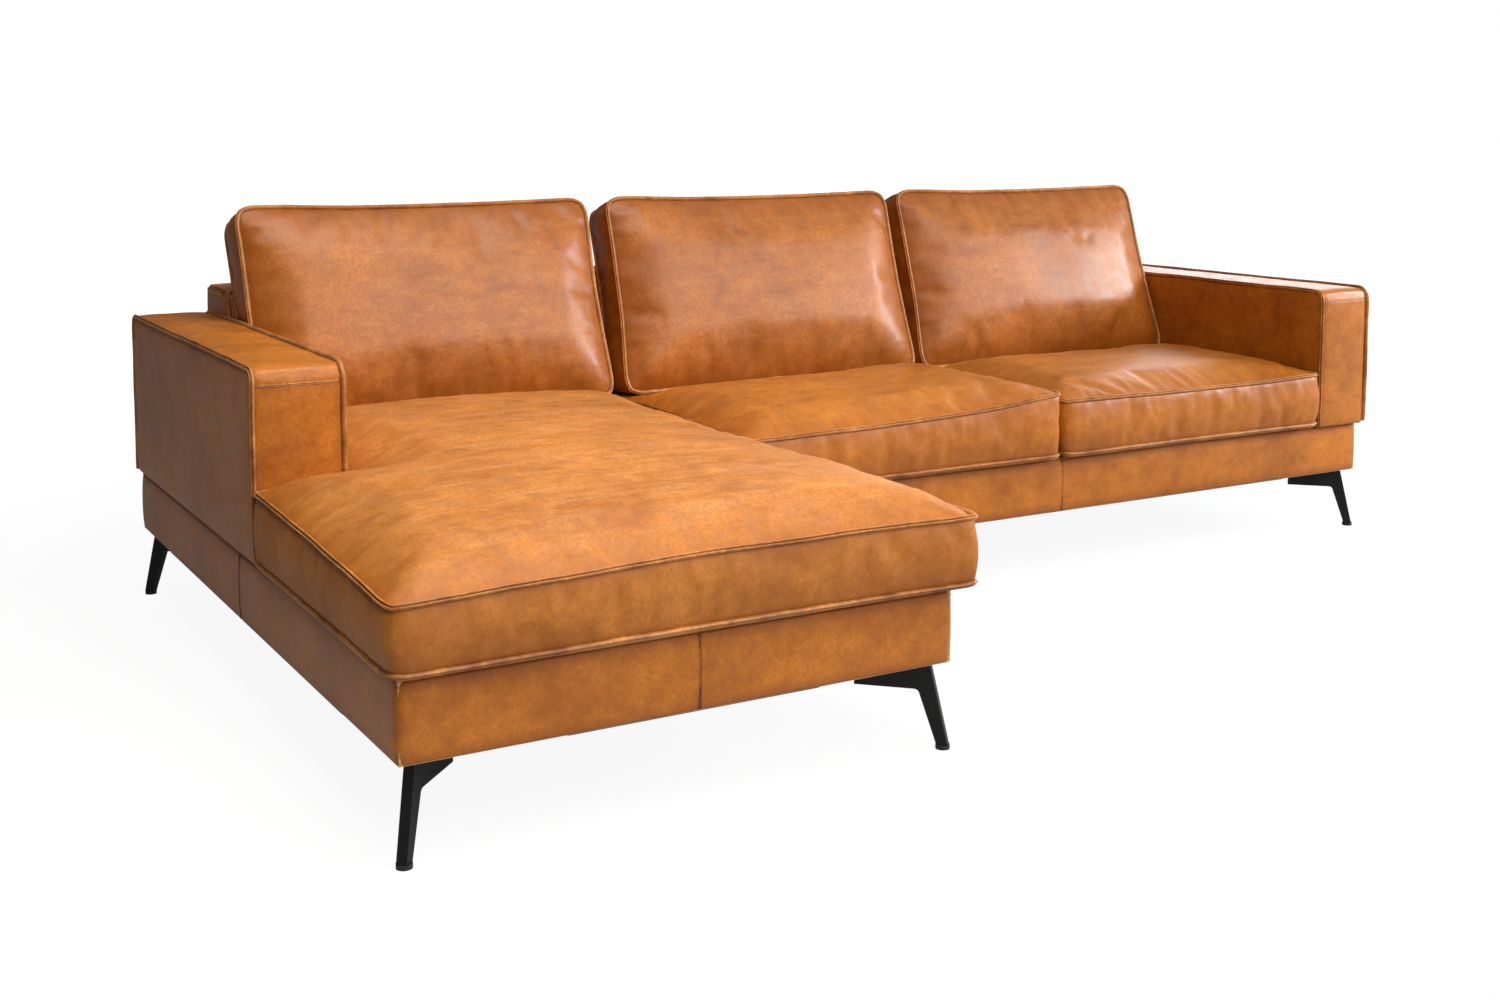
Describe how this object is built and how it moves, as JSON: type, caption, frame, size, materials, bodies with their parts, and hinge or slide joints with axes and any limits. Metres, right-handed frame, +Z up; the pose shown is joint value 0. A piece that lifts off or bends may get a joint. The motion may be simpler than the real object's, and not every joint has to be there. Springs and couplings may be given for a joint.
{
  "type": "corner sofa",
  "caption": "Leather corner sofa with a chaise end on the left, loose boxed cushions, square arms and splayed black metal legs; the chaise and the seat module lift apart.",
  "frame": {"origin": "centre of the sofa's box in plan, on the floor", "axes": "+X along the sofa to the right of a person facing it, +Y from the seat front to the back, +Z up"},
  "size_m": [2.723, 1.654, 0.8195],
  "materials": {
    "leather": "semi-gloss cognac aniline leather, mottled, with lighter pull-up marks",
    "foam": "open-cell polyurethane foam with a fibre wrap",
    "dust_cloth": "black spun-bonded cloth",
    "webbing": "woven elastic webbing",
    "leg_metal": "satin black powder coat on cast metal",
    "glide_plastic": "matte black moulded nylon",
    "plated_steel": "bright zinc plate",
    "frame_wood": "planed unfinished pine",
    "panel_board": "smooth hardboard"
  },
  "bodies": {
    "sofa_module": {"right_arm_cover": "leather", "right_arm_frame": "frame_wood", "right_arm_padding": "foam", "sofa_back_cover": "leather", "sofa_back_padding": "foam", "sofa_back_panel": "panel_board", "sofa_back_ribs": "frame_wood", "sofa_back_top_rail": "frame_wood", "sofa_base_cover": "leather", "sofa_connector_brackets": "plated_steel", "sofa_corner_blocks": "frame_wood", "sofa_cross_rails": "frame_wood", "sofa_deck_pad": "foam", "sofa_dust_cover": "dust_cloth", "sofa_end_rails": "frame_wood", "sofa_front_right_leg": "leg_metal", "sofa_glides": "glide_plastic", "sofa_leg_screws": "plated_steel", "sofa_rear_right_leg": "leg_metal", "sofa_seat_rail": "frame_wood", "sofa_seat_straps": "webbing", "sofa_side_rails": "frame_wood", "sofa_support_feet": "glide_plastic"},
    "chaise_module": {"chaise_back_cover": "leather", "chaise_back_padding": "foam", "chaise_back_panel": "panel_board", "chaise_back_ribs": "frame_wood", "chaise_back_top_rail": "frame_wood", "chaise_base_cover": "leather", "chaise_connector_pins": "plated_steel", "chaise_corner_blocks": "frame_wood", "chaise_cross_rails": "frame_wood", "chaise_deck_pad": "foam", "chaise_dust_cover": "dust_cloth", "chaise_end_rails": "frame_wood", "chaise_front_left_leg": "leg_metal", "chaise_front_right_leg": "leg_metal", "chaise_glides": "glide_plastic", "chaise_leg_screws": "plated_steel", "chaise_rear_left_leg": "leg_metal", "chaise_rear_right_leg": "leg_metal", "chaise_seat_rail": "frame_wood", "chaise_seat_straps": "webbing", "chaise_side_rails": "frame_wood", "left_arm_cover": "leather", "left_arm_frame": "frame_wood", "left_arm_padding": "foam"},
    "chaise_seat": {"chaise_seat_cover": "leather", "chaise_seat_core": "foam"},
    "middle_seat": {"middle_seat_cover": "leather", "middle_seat_core": "foam"},
    "right_seat": {"right_seat_cover": "leather", "right_seat_core": "foam"},
    "left_back": {"left_back_cover": "leather", "left_back_core": "foam"},
    "middle_back": {"middle_back_cover": "leather", "middle_back_core": "foam"},
    "right_back": {"right_back_cover": "leather", "right_back_core": "foam"}
  },
  "joints": [
    {"name": "chaise_lift", "type": "slide", "parent": "sofa_module", "child": "chaise_module", "axis": [0, 0, 1], "range_m": [0, 0.06]},
    {"name": "chaise_seat_pull", "type": "slide", "parent": "chaise_module", "child": "chaise_seat", "axis": [0, -1, 0], "range_m": [0, 0.25]},
    {"name": "middle_seat_pull", "type": "slide", "parent": "sofa_module", "child": "middle_seat", "axis": [0, -1, 0], "range_m": [0, 0.25]},
    {"name": "right_seat_pull", "type": "slide", "parent": "sofa_module", "child": "right_seat", "axis": [0, -1, 0], "range_m": [0, 0.25]},
    {"name": "left_back_lift", "type": "slide", "parent": "chaise_module", "child": "left_back", "axis": [0, 0, 1], "range_m": [0, 0.25]},
    {"name": "middle_back_lift", "type": "slide", "parent": "sofa_module", "child": "middle_back", "axis": [0, 0, 1], "range_m": [0, 0.25]},
    {"name": "right_back_lift", "type": "slide", "parent": "sofa_module", "child": "right_back", "axis": [0, 0, 1], "range_m": [0, 0.25]}
  ]
}
